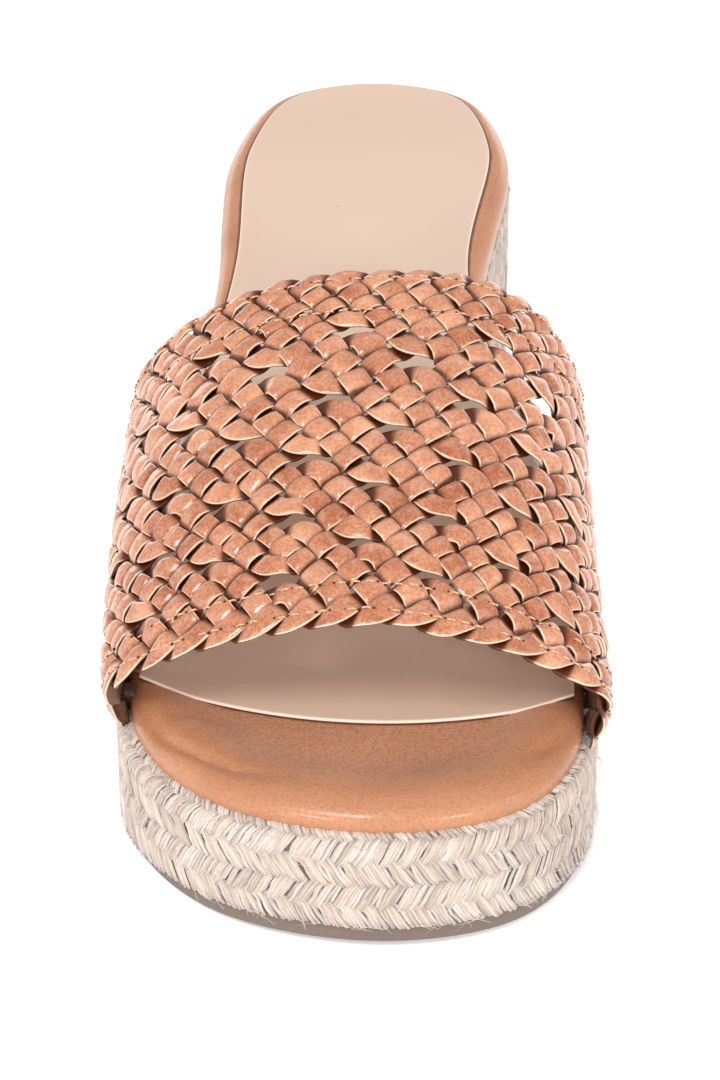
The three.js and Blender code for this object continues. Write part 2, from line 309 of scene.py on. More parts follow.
@dataclass(frozen=True)
class Finish:
    """What a surface is made of: its name, main colour and gloss."""

    name: str
    colour: str
    roughness: float

    def start(self) -> tuple[bpy.types.Material, bpy.types.NodeTree, bpy.types.Node]:
        """Start a material in the main colour and gloss.

        Returns:
            The material, its node tree and its shader.
        """
        material = bpy.data.materials.new(self.name)
        material.use_nodes = True
        shader = material.node_tree.nodes["Principled BSDF"]
        shader.inputs["Base Color"].default_value = linear(self.colour)
        shader.inputs["Roughness"].default_value = self.roughness
        return material, material.node_tree, shader


@dataclass(frozen=True)
class StripLeather(Finish):
    """Glazed calf leather cut into strips: a warm glossy face, raw pale cut edges, painted shade in the
    hollows.

    It reads the marks edge (1 at a strip's cut edge and on its raw underside), tone (each strip's own
    shade) and the mark for painted shade.
    """

    pale: str = "#e2a884"
    edge: str = "#f0d2b8"
    # Colour of the painted shade in the hollows.
    dark: str = "#4d1f0c"
    mottle_mm: float = 7
    grain_mm: float = 0.6
    streak_mm: float = 1.6

    def make(self) -> bpy.types.Material:
        """Build the material.

        Returns:
            The material, named for what it is.
        """
        material, tree, shader = self.start()
        place = add(tree, "TexCoord", {})
        mottle = add(tree, "TexNoise", {"Vector": place.outputs["Object"], "Scale": per_mm(self.mottle_mm),
                                        "Detail": 3.0, "Roughness": 0.6})
        grain = add(tree, "TexNoise", {"Vector": place.outputs["Object"], "Scale": per_mm(self.grain_mm),
                                       "Detail": 3.0, "Roughness": 0.6})
        tone = add(tree, "Attribute", {}, attribute_name="tone")
        cloudy = add(tree, "Math", {0: mottle.outputs["Fac"], 1: grain.outputs["Fac"]}, operation="ADD")
        shade = add(tree, "Math", {0: tone.outputs["Fac"], 1: 0.35, 2: cloudy.outputs[0]},
                    operation="MULTIPLY_ADD")
        light = add(tree, "MapRange", {"Value": shade.outputs[0], "From Min": 0.85, "From Max": 1.5,
                                       "To Max": 0.75})
        face = add(tree, "Mix", {0: light.outputs[0], MIX_A: linear(self.colour), MIX_B: linear(self.pale)},
                   data_type="RGBA")
        edge = add(tree, "Attribute", {}, attribute_name="edge")
        raw = add(tree, "MapRange", {"Value": edge.outputs["Fac"], "From Min": 0.88, "From Max": 0.97,
                                     "To Max": 0.85}, interpolation_type="SMOOTHSTEP")
        cut = add(tree, "Mix", {0: raw.outputs[0], MIX_A: face.outputs[MIX_RESULT],
                                MIX_B: linear(self.edge)}, data_type="RGBA")
        # Painted shade: dark where a strip dives under the next one, on the lower half of its cut edges and
        # inside the band's feet.
        painted_shade = add(tree, "Attribute", {}, attribute_name="painted_shade")
        dyed = add(tree, "Mix", {0: painted_shade.outputs["Fac"], MIX_A: cut.outputs[MIX_RESULT],
                                 MIX_B: linear(self.dark)}, data_type="RGBA")
        tree.links.new(dyed.outputs[MIX_RESULT], shader.inputs["Base Color"])
        uneven = add(tree, "MapRange", {"Value": mottle.outputs["Fac"], "To Min": self.roughness - 0.08,
                                        "To Max": self.roughness + 0.12})
        tree.links.new(uneven.outputs[0], shader.inputs["Roughness"])
        # Creases run along the strips: the noise is drawn out four times that way.
        along = add(tree, "Mapping", {"Vector": place.outputs["UV"],
                                      "Scale": (1 / self.streak_mm, 0.25 / self.streak_mm, 1)})
        streak = add(tree, "TexNoise", {"Vector": along.outputs[0], "Scale": 1.0, "Detail": 2.0})
        relief = add(tree, "Math", {0: streak.outputs["Fac"], 1: grain.outputs["Fac"]}, operation="ADD")
        bump = add(tree, "Bump", {"Height": relief.outputs[0], "Strength": 0.6, "Distance": 0.15 * MM})
        tree.links.new(bump.outputs[0], shader.inputs["Normal"])
        # The glaze is taken off where the shade is painted.
        glaze = add(tree, "MapRange", {"Value": painted_shade.outputs["Fac"], "To Min": 0.8, "To Max": 0.0})
        tree.links.new(glaze.outputs[0], shader.inputs["Coat Weight"])
        shader.inputs["Coat Roughness"].default_value = 0.12
        shader.inputs["Specular IOR Level"].default_value = 0.3
        return material


@dataclass(frozen=True)
class WrapLeather(Finish):
    """Smooth calf leather drawn over the footbed: fine pebble grain with dark pores and a satin glaze.

    It reads the marks for the sock's shadow (millimetres inside the sock's edge, along which a shadow line
    is painted) and drawn (1 where it is drawn tight round the rim and its pores close).
    """

    # Colour of the painted shadow line along the sock's edge.
    dark: str = "#57301c"
    pale: str = "#c28a66"
    pore: str = "#6e422b"
    mottle_mm: float = 16
    grain_mm: float = 0.7
    pore_mm: float = 0.6

    def make(self) -> bpy.types.Material:
        """Build the material.

        Returns:
            The material, named for what it is.
        """
        material, tree, shader = self.start()
        place = add(tree, "TexCoord", {})
        mottle = add(tree, "TexNoise", {"Vector": place.outputs["Object"], "Scale": per_mm(self.mottle_mm),
                                        "Detail": 4.0})
        face = add(tree, "Mix", {0: mottle.outputs["Fac"], MIX_A: linear(self.colour),
                                 MIX_B: linear(self.pale)}, data_type="RGBA")
        pores = add(tree, "TexVoronoi", {"Vector": place.outputs["Object"], "Scale": per_mm(self.pore_mm)})
        spots = add(tree, "MapRange", {"Value": pores.outputs["Distance"], "From Min": 0.1,
                                       "From Max": 0.55, "To Min": 1.0, "To Max": 0.0})
        drawn = add(tree, "Attribute", {}, attribute_name="drawn")
        open_pores = add(tree, "MapRange", {"Value": drawn.outputs["Fac"], "To Min": 0.6, "To Max": 0.3})
        pitted = add(tree, "Math", {0: spots.outputs[0], 1: open_pores.outputs[0]}, operation="MULTIPLY")
        skin = add(tree, "Mix", {0: pitted.outputs[0], MIX_A: face.outputs[MIX_RESULT],
                                 MIX_B: linear(self.pore)}, data_type="RGBA")
        # Painted shadow: a dark line on the leather along the sock's edge, round the heel.
        sock_shadow = add(tree, "Attribute", {}, attribute_name="sock_shadow")
        line = add(tree, "MapRange", {"Value": sock_shadow.outputs["Fac"], "From Min": -0.75, "From Max": -0.3,
                                      "To Max": 0.85}, interpolation_type="SMOOTHSTEP")
        sock_shadowed = add(tree, "Mix", {0: line.outputs[0], MIX_A: skin.outputs[MIX_RESULT],
                                 MIX_B: linear(self.dark)}, data_type="RGBA")
        tree.links.new(sock_shadowed.outputs[MIX_RESULT], shader.inputs["Base Color"])
        grain = add(tree, "TexVoronoi", {"Vector": place.outputs["Object"], "Scale": per_mm(self.grain_mm)},
                    feature="SMOOTH_F1")
        sunk = add(tree, "Math", {0: grain.outputs["Distance"], 1: pitted.outputs[0]}, operation="SUBTRACT")
        bump = add(tree, "Bump", {"Height": sunk.outputs[0], "Strength": 0.8, "Distance": 0.12 * MM})
        tree.links.new(bump.outputs[0], shader.inputs["Normal"])
        shader.inputs["Coat Weight"].default_value = 0.3
        shader.inputs["Coat Roughness"].default_value = 0.18
        shader.inputs["Specular IOR Level"].default_value = 0.25
        return material


@dataclass(frozen=True)
class SockLeather(Finish):
    """Thin uncoated sheepskin: cream and matt, very fine grain, a few dark fibres, pale at the cut edge.

    It reads the marks edge, 1 at the cut edge, and the shade mark, 1 where a shadow line is painted under
    it.
    """

    shade: str = "#c7ad9a"
    edge: str = "#e9d3c2"
    speck: str = "#6d5443"
    # Colour of the painted shadow line under the cut edge.
    edge_shadow: str = "#4a2b1c"
    mottle_mm: float = 30
    grain_mm: float = 0.8
    speck_mm: float = 9

    def make(self) -> bpy.types.Material:
        """Build the material.

        Returns:
            The material, named for what it is.
        """
        material, tree, shader = self.start()
        place = add(tree, "TexCoord", {})
        mottle = add(tree, "TexNoise", {"Vector": place.outputs["Object"], "Scale": per_mm(self.mottle_mm),
                                        "Detail": 5.0})
        face = add(tree, "Mix", {0: mottle.outputs["Fac"], MIX_A: linear(self.colour),
                                 MIX_B: linear(self.shade)}, data_type="RGBA")
        dots = add(tree, "TexVoronoi", {"Vector": place.outputs["Object"], "Scale": per_mm(self.speck_mm)})
        speck = add(tree, "MapRange", {"Value": dots.outputs["Distance"], "From Min": 0.015,
                                       "From Max": 0.035, "To Min": 0.7, "To Max": 0.0})
        flecked = add(tree, "Mix", {0: speck.outputs[0], MIX_A: face.outputs[MIX_RESULT],
                                    MIX_B: linear(self.speck)}, data_type="RGBA")
        edge = add(tree, "Attribute", {}, attribute_name="edge")
        cut = add(tree, "Mix", {0: edge.outputs["Fac"], MIX_A: flecked.outputs[MIX_RESULT],
                                MIX_B: linear(self.edge)}, data_type="RGBA")
        # Painted shadow: a dark line at the foot of the sock's cut edge.
        painted_shade = add(tree, "Attribute", {}, attribute_name="painted_shade")
        edge_shadowed = add(tree, "Mix", {0: painted_shade.outputs["Fac"], MIX_A: cut.outputs[MIX_RESULT],
                                  MIX_B: linear(self.edge_shadow)}, data_type="RGBA")
        tree.links.new(edge_shadowed.outputs[MIX_RESULT], shader.inputs["Base Color"])
        grain = add(tree, "TexNoise", {"Vector": place.outputs["Object"], "Scale": per_mm(self.grain_mm),
                                       "Detail": 3.0})
        bump = add(tree, "Bump", {"Height": grain.outputs["Fac"], "Strength": 0.2, "Distance": 0.08 * MM})
        tree.links.new(bump.outputs[0], shader.inputs["Normal"])
        return material


@dataclass(frozen=True)
class JuteFibre(Finish):
    """Bleached jute roving, plaited: dry pale fibres side by side, each strand of its own shade.

    It reads the UV map (across and along a strand, in millimetres), the mark tone and the mark for painted
    shade.
    """

    pale: str = "#dbcdc2"
    # Colour of the painted shade.
    dark: str = "#574a41"
    fibre_mm: float = 0.35
    drawn_out: float = 9

    def make(self) -> bpy.types.Material:
        """Build the material.

        Returns:
            The material, named for what it is.
        """
        material, tree, shader = self.start()
        place = add(tree, "TexCoord", {})
        # Single fibres are far finer than a pixel, so they are drawn as bundles of fibre_mm.
        stretch = (1 / self.fibre_mm, 1 / (self.fibre_mm * self.drawn_out), 1)
        along = add(tree, "Mapping", {"Vector": place.outputs["UV"], "Scale": stretch})
        fibre = add(tree, "TexNoise", {"Vector": along.outputs[0], "Scale": 1.0, "Detail": 3.0,
                                       "Roughness": 0.65})
        tone = add(tree, "Attribute", {}, attribute_name="tone")
        shade = add(tree, "Math", {0: fibre.outputs["Fac"], 1: tone.outputs["Fac"]}, operation="ADD")
        light = add(tree, "MapRange", {"Value": shade.outputs[0], "From Min": 0.65, "From Max": 1.35})
        face = add(tree, "Mix", {0: light.outputs[0], MIX_A: linear(self.colour), MIX_B: linear(self.pale)},
                   data_type="RGBA")
        # Painted shade: darker on a yarn's inner side, where it dives, at its end, and on the core.
        painted_shade = add(tree, "Attribute", {}, attribute_name="painted_shade")
        shadowed = add(tree, "Mix", {0: painted_shade.outputs["Fac"], MIX_A: face.outputs[MIX_RESULT],
                                     MIX_B: linear(self.dark)}, data_type="RGBA")
        tree.links.new(shadowed.outputs[MIX_RESULT], shader.inputs["Base Color"])
        bump = add(tree, "Bump", {"Height": fibre.outputs["Fac"], "Strength": 0.8, "Distance": 0.25 * MM})
        tree.links.new(bump.outputs[0], shader.inputs["Normal"])
        shader.inputs["Sheen Weight"].default_value = 0.25
        shader.inputs["Specular IOR Level"].default_value = 0.25
        return material


@dataclass(frozen=True)
class MouldedRubber(Finish):
    """Moulded rubber sheet: taupe, satin, with a faint mould skin and a little dust in its shade."""

    dust: str = "#74645b"
    cloud_mm: float = 22
    skin_mm: float = 0.6

    def make(self) -> bpy.types.Material:
        """Build the material.

        Returns:
            The material, named for what it is.
        """
        material, tree, shader = self.start()
        place = add(tree, "TexCoord", {})
        cloud = add(tree, "TexNoise", {"Vector": place.outputs["Object"], "Scale": per_mm(self.cloud_mm),
                                       "Detail": 4.0})
        face = add(tree, "Mix", {0: cloud.outputs["Fac"], MIX_A: linear(self.colour),
                                 MIX_B: linear(self.dust)}, data_type="RGBA")
        tree.links.new(face.outputs[MIX_RESULT], shader.inputs["Base Color"])
        skin = add(tree, "TexNoise", {"Vector": place.outputs["Object"], "Scale": per_mm(self.skin_mm),
                                      "Detail": 2.0})
        bump = add(tree, "Bump", {"Height": skin.outputs["Fac"], "Strength": 0.15, "Distance": 0.08 * MM})
        tree.links.new(bump.outputs[0], shader.inputs["Normal"])
        return material


@dataclass(frozen=True)
class TwistedThread(Finish):
    """Waxed polyester sewing thread: pale, with slanting ridges from its twist; also the painted shade of
    needle holes.
    """

    shade: str = "#b98a66"
    twist_mm: float = 0.5

    def make(self) -> bpy.types.Material:
        """Build the material.

        Returns:
            The material, named for what it is.
        """
        material, tree, shader = self.start()
        place = add(tree, "TexCoord", {})
        slant = add(tree, "Mapping", {"Vector": place.outputs["UV"], "Rotation": (0, 0, math.radians(35))})
        twist = add(tree, "TexWave", {"Vector": slant.outputs[0], "Scale": 0.3 / self.twist_mm})
        face = add(tree, "Mix", {0: twist.outputs["Fac"], MIX_A: linear(self.shade),
                                 MIX_B: linear(self.colour)}, data_type="RGBA")
        tree.links.new(face.outputs[MIX_RESULT], shader.inputs["Base Color"])
        bump = add(tree, "Bump", {"Height": twist.outputs["Fac"], "Strength": 0.4, "Distance": 0.1 * MM})
        tree.links.new(bump.outputs[0], shader.inputs["Normal"])
        return material


@dataclass(frozen=True)
class StudioFloor(Finish):
    """Frosted acrylic table under the shoe: white and matt, lit a little from below, with faint clouds."""

    shade: str = "#f4f2f0"
    glow: float = 0.3
    cloud_mm: float = 400

    def make(self) -> bpy.types.Material:
        """Build the material.

        Returns:
            The material, named for what it is.
        """
        material, tree, shader = self.start()
        place = add(tree, "TexCoord", {})
        cloud = add(tree, "TexNoise", {"Vector": place.outputs["Object"], "Scale": per_mm(self.cloud_mm)})
        face = add(tree, "Mix", {0: cloud.outputs["Fac"], MIX_A: linear(self.colour),
                                 MIX_B: linear(self.shade)}, data_type="RGBA")
        tree.links.new(face.outputs[MIX_RESULT], shader.inputs["Base Color"])
        shader.inputs["Emission Color"].default_value = linear(self.colour)
        shader.inputs["Emission Strength"].default_value = self.glow
        return material


# Sub-assemblies


@dataclass
class Last:
    """Plan outline and heights that every piece of the shoe follows."""

    # Plan of the outsole, once round from the toe tip along the inner side.
    outline: tuple[tuple[float, float], ...] = (
        (4, -125), (29.5, -118.2), (43, -99), (46.3, -62),
        (41.5, -12), (28.8, 42), (34.5, 89), (25.5, 117),
        (4, 125), (-17.5, 117), (-28.5, 89), (-31.1, 45),
        (-41, -10), (-46.3, -54), (-43, -92), (-25.5, -115.6),
    )
    # Height of the footbed's rim along the foot, as (y, z).
    rim: tuple[tuple[float, float], ...] = (
        (-125, 30.3), (-100, 28.9), (-70, 29.1), (-35, 33.5),
        (5, 45), (45, 57.5), (85, 66.8), (125, 69.8),
    )
    # The footbed stands in from the outline at the toe and meets it behind the band, as (y, inset).
    rim_inset: tuple[tuple[float, float], ...] = ((2, 2.6), (30, 1.4), (58, 0))
    toe_spring: float = 1.6
    spring_start: float = -78
    outsole_thick: float = 3.6
    footbed_thick: float = 7
    gap: float = 0.3
    fine_steps: int = 96

    def __post_init__(self) -> None:
        """Trace the outline: a closed centripetal Catmull-Rom curve, finely sampled by arc length."""
        knots = np.array(self.outline, float)
        before, after, beyond = (np.roll(knots, shift, 0) for shift in (1, -1, -2))
        pairs = ((before, knots), (knots, after), (after, beyond))
        spans = [np.linalg.norm(b - a, axis=1, keepdims=True) ** 0.5 for a, b in pairs]
        steps = [(b - a) / span for (a, b), span in zip(pairs, spans)]
        leave = spans[1] * (steps[0] - (after - before) / (spans[0] + spans[1]) + steps[1])
        arrive = spans[1] * (steps[1] - (beyond - knots) / (spans[1] + spans[2]) + steps[2])
        t = (np.arange(self.fine_steps) / self.fine_steps)[None, :, None]
        knots, after, leave, arrive = (part[:, None] for part in (knots, after, leave, arrive))
        rise = t * t * (3 - 2 * t)
        curve = knots * (1 - rise) + after * rise + leave * t * (1 - t) ** 2 + arrive * t * t * (t - 1)
        self.path = curve.reshape(-1, 2)
        ahead, behind = np.roll(self.path, -1, 0), np.roll(self.path, 1, 0)
        across = np.stack([ahead[:, 1] - behind[:, 1], behind[:, 0] - ahead[:, 0]], -1)
        self.normals = across / np.linalg.norm(across, axis=1, keepdims=True)
        chords = np.linalg.norm(ahead - self.path, axis=1)
        self.lengths = np.cumsum(chords) - chords
        self.perimeter = float(chords.sum())

    def along(self, length: Array) -> tuple[Array, Array]:
        """Read the outline at lengths round it.

        Args:
            length: Lengths from the toe tip, along the inner side first.

        Returns:
            Places and outward normals.
        """
        read = [np.interp(length, self.lengths, column, period=self.perimeter)
                for column in (*self.path.T, *self.normals.T)]
        return np.stack(read[:2], -1), np.stack(read[2:], -1)

    def ring(self, inset: float, count: int, to_footbed: bool = False) -> Array:
        """Plan ring of evenly spaced points.

        Args:
            inset: How far the ring lies inside the outline.
            count: Number of points.
            to_footbed: Whether the inset counts from the footbed's edge instead.

        Returns:
            Points (x, y).
        """
        place, normal = self.along(np.arange(count) * self.perimeter / count)
        extra = self.footbed_inset(place[:, 1]) if to_footbed else 0
        return place - normal * np.reshape(inset + extra, (-1, 1))

    def depth(self, points: Array) -> Array:
        """Distance of plan points from the outline, read at every fourth point of its trace."""
        return np.linalg.norm(points[:, None] - self.path[None, ::4], axis=-1).min(1)

    def face_x(self, y: Array, side: Side) -> Array:
        """Read one side of the outline.

        Args:
            y: Places along the foot.
            side: The side of the foot.

        Returns:
            X of the outline at those places.
        """
        toe, heel = int(self.path[:, 1].argmin()), int(self.path[:, 1].argmax())
        turned = np.roll(self.path, -toe, 0)
        half = turned[:heel - toe + 1] if side is Side.INNER else turned[heel - toe:][::-1]
        return np.interp(y, half[:, 1], half[:, 0])

    def toe_lift(self, y: Array) -> Array:
        """Height of the sole's underside over the floor, a parabola from the ball to the toe."""
        share = np.maximum((self.spring_start - y) / (self.spring_start - self.outline[0][1]), 0)
        return self.toe_spring * share ** 2

    def footbed_top(self, y: Array) -> Array:
        """Height of the footbed's rim at y."""
        return follow(*np.transpose(self.rim), y)

    def footbed_inset(self, y: Array) -> Array:
        """Inset of the footbed's edge from the outline at y."""
        keys, values = np.transpose(self.rim_inset)
        return follow(keys, values, np.clip(y, keys[0], keys[-1]))

    def wedge_top(self, y: Array) -> Array:
        """Height of the wedge under the footbed at y."""
        return self.footbed_top(y) - self.footbed_thick - self.gap


@dataclass
class Outsole:
    """Thin rubber sheet under the wedge."""

    last: Last
    inset: float = 0.8
    chamfer: float = 0.6
    bevel: float = 0.35
    around: int = 360

    def build(self) -> Surface:
        """Loft from the chamfered lower edge to the softly broken upper edge.

        Returns:
            The sheet, bent up at the toe.
        """
        thick = self.last.outsole_thick
        profile = [(2.2, 0), (self.chamfer, 0), (0.2, 0.2), (0, self.chamfer), (0, thick - self.bevel),
                   (0.1, thick - 0.1), (self.bevel, thick), (2.2, thick)]
        rings = []
        for inset, rise in profile:
            plan = self.last.ring(self.inset + inset, self.around)
            rings.append(np.column_stack([plan, self.last.toe_lift(plan[:, 1]) + rise]))
        return loft(np.array(rings), {})

    def dress(self) -> None:
        """Make the piece in rubber; it stands for the solid outsole."""
        rubber = MouldedRubber("moulded rubber", "#615147", 0.5).make()
        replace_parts(make_piece("outsole_sheet", self.build(), rubber, 60), "outsole")


@dataclass
class JuteWedge:
    """Wedge wrapped in rows of plaited jute: a core, herringbone strands and loose fibres."""

    last: Last
    row_height: float = 9.8
    rows: int = 7
    row_start: float = 3.2
    core_depth: float = 0.45
    core_around: int = 300
    # A strand is a flat bundle of yarns side by side; the share is the yarns' spacing over the pitch.
    pitch: float = 4.1
    yarns: int = 6
    yarn_share: float = 0.162
    lean: float = 3.7
    overlap: float = 0.9
    lap: float = 0.45
    # Share of the strands that are drawn tight, so that a slit shows beside them.
    tight_share: float = 0.42
    tight_by: float = 0.25
    tight_at: float = 0.35
    tight_reach: float = 0.2
    # How far a strand dives at the middle line, how its outer yarns fall away, and where it is hidden.
    dive: float = 0.25
    round_over: float = 0.03
    hidden_past: float = 2.5
    # Spread of the strands' small differences.
    place_spread: float = 0.12
    lean_spread: float = 0.06
    width_spread: float = 0.12
    rise_spread: float = 0.06
    droop_spread: float = 0.18
    half_width: float = 0.5
    half_depth: float = 0.27
    row_bulge: float = 0.2
    # The lowest strands end above the rubber at toe and heel, and hang over it along the sides.
    hang: float = -0.7
    side_hang: float = 2.8
    # The wrapping rolls in against the footbed's edge, higher where that edge stands further in.
    top_rise: float = 0.6
    rise_share: float = 0.42
    least_roll: float = 1.0
    yarn_rings: int = 6
    yarn_around: int = 4
    # Shift of the UV map from yarn to yarn, so that no two show the same fibres.
    map_shift: float = 7.3
    fibre_count: int = 900
    fibre_radius: float = 0.05
    fibre_run: float = 2.6
    fibre_reach: tuple[float, float] = (0.2, 0.9)

    def row_middle(self, row: int) -> float:
        """Height of a row's middle line over the sole's underside."""
        return self.row_start + (row + 0.5) * self.row_height

    def lay(self, length: Array, level: Array, out: Array) -> tuple[Array, Array]:
        """Places on the wrapping, which goes up the side and rolls inwards at the top.

        Args:
            length: Lengths round the sole.
            level: Lengths up the wrapping, from the sole's underside.
            out: Distances off the wrapping's middle surface.

        Returns:
            Points, and how far they lie beyond the roll, in under the footbed.
        """
        place, normal = self.last.along(length)
        y = place[..., 1]
        inset = self.last.footbed_inset(y)
        roll = self.least_roll + 0.8 * inset
        start = self.last.wedge_top(y) + self.top_rise + self.rise_share * inset - roll
        over = self.last.toe_lift(y) + level - start
        turn = np.clip(over / roll, 0, np.pi / 2)
        beyond = over - roll * np.pi / 2
        inwards = roll * (1 - np.cos(turn)) + np.maximum(beyond, 0)
        height = start + np.minimum(over, 0) + (roll + out) * np.sin(turn)
        plan = place + normal * (out * np.cos(turn) - inwards)[..., None]
        return np.concatenate([plan, height[..., None]], -1), beyond

    def core(self) -> Surface:
        """Loft the backing behind the strands, from the outsole to under the footbed.

        Returns:
            The backing, painted dark all over as the shade that shows between the strands.
        """
        length = np.arange(self.core_around) * self.last.perimeter / self.core_around
        y = self.last.along(length)[0][:, 1]
        low = self.last.outsole_thick + self.last.gap
        high = self.last.wedge_top(y) - self.last.toe_lift(y) + 4
        level = low + np.linspace(0, 1, 24)[:, None] * (high - low)
        spread = np.broadcast_to(length, level.shape)
        rings, _ = self.lay(spread, level, np.full(level.shape, -self.core_depth))
        flat = np.ones(level.shape)
        return loft(rings, {"u": level, "v": spread, "tone": 0.3 * flat, "painted_shade": 0.78 * flat})

    def strands(self, row: int, rng: np.random.Generator) -> Surface:
        """Strands of one row, from the row's middle line up and down to its edges.

        Each yarn is a tube whose section is an ellipse. Its path leans along the row, dives under the
        opposite strands at the middle line and sinks into the groove at the row's edge.

        Args:
            row: The row's number from the sole.
            rng: Source of the strands' small differences.

        Returns:
            The row's yarns as far as they show.
        """
        count = round(self.last.perimeter / self.pitch)
        pitch = self.last.perimeter / count
        upward = np.repeat([1.0, -1.0], count)
        start = np.tile(np.arange(count) * pitch, 2) + np.where(upward < 0, 0.5 * pitch, 0)
        strand = np.repeat(np.arange(2 * count), self.yarns)
        yarn = np.tile(np.arange(self.yarns) - (self.yarns - 1) / 2, 2 * count)
        total = len(strand)

        def vary(spread: float, per_strand: bool = False) -> Array:
            """Small differences, one for each yarn or one for all yarns of a strand."""
            drawn = rng.normal(0, spread, 2 * count if per_strand else total)
            return (drawn[strand] if per_strand else drawn)[:, None, None]

        way, yarn = upward[strand][:, None, None], yarn[:, None, None]
        t = np.linspace(0, 1, self.yarn_rings)[None, :, None]
        tight = (rng.uniform(0, 1, 2 * count) < self.tight_share)[strand][:, None, None]
        off_waist = (t - self.tight_at + vary(0.1, True)) / self.tight_reach
        waist = 1 - self.tight_by * tight * np.exp(-off_waist ** 2)
        begin = start[strand][:, None, None] + vary(self.place_spread, True)
        begin = begin + yarn * waist * self.yarn_share * pitch + vary(self.place_spread)
        sideways = self.last.along(begin[:, :1])[1][..., 0]
        lowest = (way < 0) & (row == 0)
        droop = self.hang + self.side_hang * sideways ** 6 + vary(self.droop_spread)
        half = self.row_height / 2
        climb = half + self.overlap + np.where(lowest, droop, self.lap)
        uneven = 1 + vary(self.lean_spread, True) + vary(self.lean_spread)
        lean = self.lean * climb / (half + self.overlap) * uneven
        slant = np.hypot(lean, climb)

        angle = np.linspace(0, 2 * np.pi, self.yarn_around, endpoint=False)[None, None, :] + np.pi / 2
        shape = (total, self.yarn_rings, self.yarn_around)
        # Both ends are drawn in to four fifths of the middle's width.
        taper = np.sin(np.pi * (0.22 + 0.56 * t)) ** 0.5
        side = self.half_width * (1 + vary(self.width_spread)) * taper * np.cos(angle)
        deep = self.half_depth * taper * np.sin(angle)
        level = way * (climb * t - self.overlap) + side * lean / slant
        length = begin + lean * (t + 0.05 * np.sin(2 * np.pi * t)) - side * way * climb / slant
        bulge = self.row_bulge * (1 - np.clip(level / half, -1, 1) ** 2)
        end = np.where(lowest, -0.2, 0.1)
        out = bulge - 0.1 - self.dive * (1 - t) ** 4 - end * t ** 5 - self.round_over * yarn ** 2
        out = out + vary(self.rise_spread) + deep
        points, beyond = self.lay(*(np.broadcast_to(part, shape) for part in (
            length, self.row_middle(row) + level, out)))
        keep = beyond.min((1, 2)) < self.hidden_past
        # Painted shade: darker on a yarn's inner side, where it dives and at its end.
        painted_shade = np.clip(-0.1 - 0.6 * np.sin(angle), 0, 1) + 0.2 * (1 - t) ** 5 + 0.12 * t ** 7
        marks = {
            "u": side + self.map_shift * np.arange(total)[:, None, None],
            "v": slant * t,
            "tone": np.clip(0.5 + vary(0.05, True) + vary(0.09), 0, 1),
            "painted_shade": np.clip(painted_shade, 0, 1),
        }
        full = {key: np.broadcast_to(value, shape)[keep] for key, value in marks.items()}
        return tubes(points[keep], full)

    def fibres(self, rng: np.random.Generator) -> Surface:
        """Loose fibres: thin tubes that leave the plait, mostly at its edges, and bend back along it.

        Args:
            rng: Source of their places and bends.

        Returns:
            All fibres.
        """
        count = self.fibre_count
        start = rng.uniform(0, self.last.perimeter, count)
        y = self.last.along(start)[0][:, 1]
        low = self.last.outsole_thick + 0.8
        high = self.last.wedge_top(y) - self.last.toe_lift(y)
        share = np.choose(rng.integers(0, 4, count), [0 * y, rng.uniform(0, 1, count), 0 * y, 1 + 0 * y])
        level = low + (high - low) * share
        run = rng.normal(0, self.fibre_run, count)
        drop = np.where(share > 0.9, rng.normal(0.3, 0.5, count), rng.normal(-1.2, 0.7, count))
        reach = rng.uniform(*self.fibre_reach, count)
        t = np.linspace(0, 1, 7)[None, :, None]
        angle = np.linspace(0, 2 * np.pi, 3, endpoint=False)[None, None, :]
        radius = self.fibre_radius * (1 - 0.6 * t)
        start, level, run, drop, reach = (part[:, None, None] for part in (start, level, run, drop, reach))
        length = start + run * t + radius * np.cos(angle)
        out = 0.3 + reach * np.sin(np.pi * t * 0.8) + radius * np.sin(angle)
        points, _ = self.lay(length, level + drop * t * t + radius * np.cos(angle), out)
        points[..., 2] = np.maximum(points[..., 2], 0.2)
        flat = np.ones(points.shape[:3])
        return tubes(points, {"u": 0.1 * flat, "v": flat * t * 5, "tone": 0.9 * flat, "painted_shade": 0 * flat})

    def dress(self) -> None:
        """Make the core, which stands for the solid wedge, then the rows and the fibres."""
        rng = np.random.default_rng(SEED)
        jute = JuteFibre("bleached jute plait", "#9a8a80", 0.9).make()
        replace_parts(make_piece("wedge_core", self.core(), jute), "wedge")
        for row in range(self.rows):
            make_piece(f"jute_row_{row + 1}", self.strands(row, rng), jute, 180)
        make_piece("jute_loose_fibres", self.fibres(rng), jute, 180)


